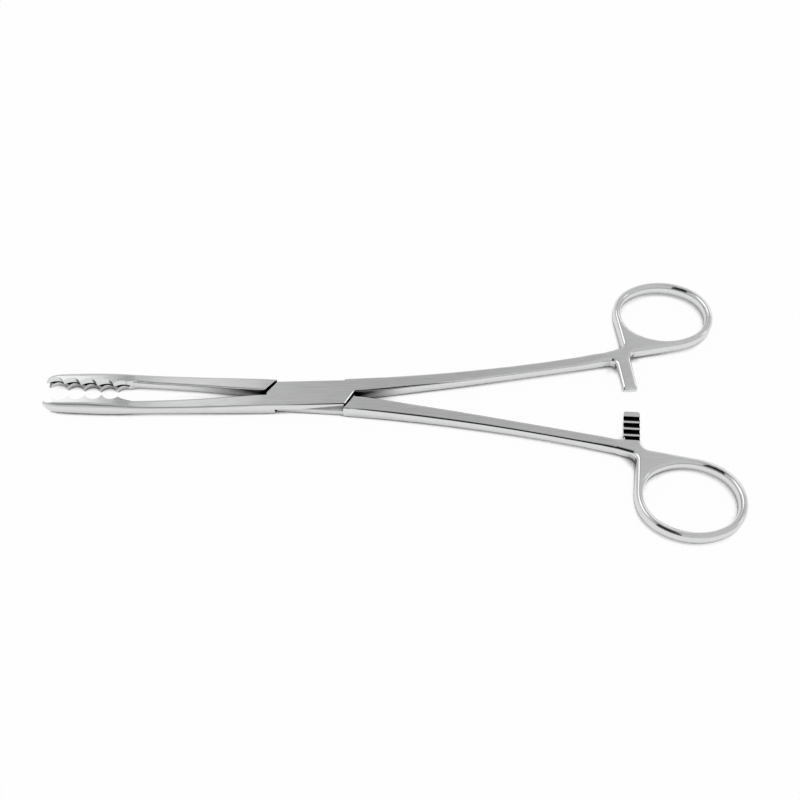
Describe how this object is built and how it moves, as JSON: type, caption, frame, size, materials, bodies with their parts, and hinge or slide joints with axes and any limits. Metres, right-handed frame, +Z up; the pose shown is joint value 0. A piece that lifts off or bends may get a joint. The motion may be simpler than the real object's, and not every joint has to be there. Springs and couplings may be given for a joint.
{
  "type": "dressing forceps",
  "caption": "Ratchet dressing forceps with long straight jaws, a flush lap joint and two oval finger rings.",
  "frame": {"origin": "joint axis at the underside of the lap joint, which lies on the table", "axes": "+X from the joint towards the finger rings, jaws toward -X, +Z up along the joint axis"},
  "size_m": [0.2643, 0.1158, 0.0072],
  "materials": {
    "steel": "satin stainless steel with polished edges",
    "pin_steel": "satin stainless steel"
  },
  "bodies": {
    "upper_side": {"upper_half": "steel", "joint_pin": "pin_steel"},
    "lower_side": {"lower_half": "steel"}
  },
  "joints": [
    {"name": "lap_joint", "type": "hinge", "parent": "upper_side", "child": "lower_side", "pos_m": [0, 0, 0.00315], "axis": [0, 0, -1], "range_deg": [-4.9, 45]}
  ]
}
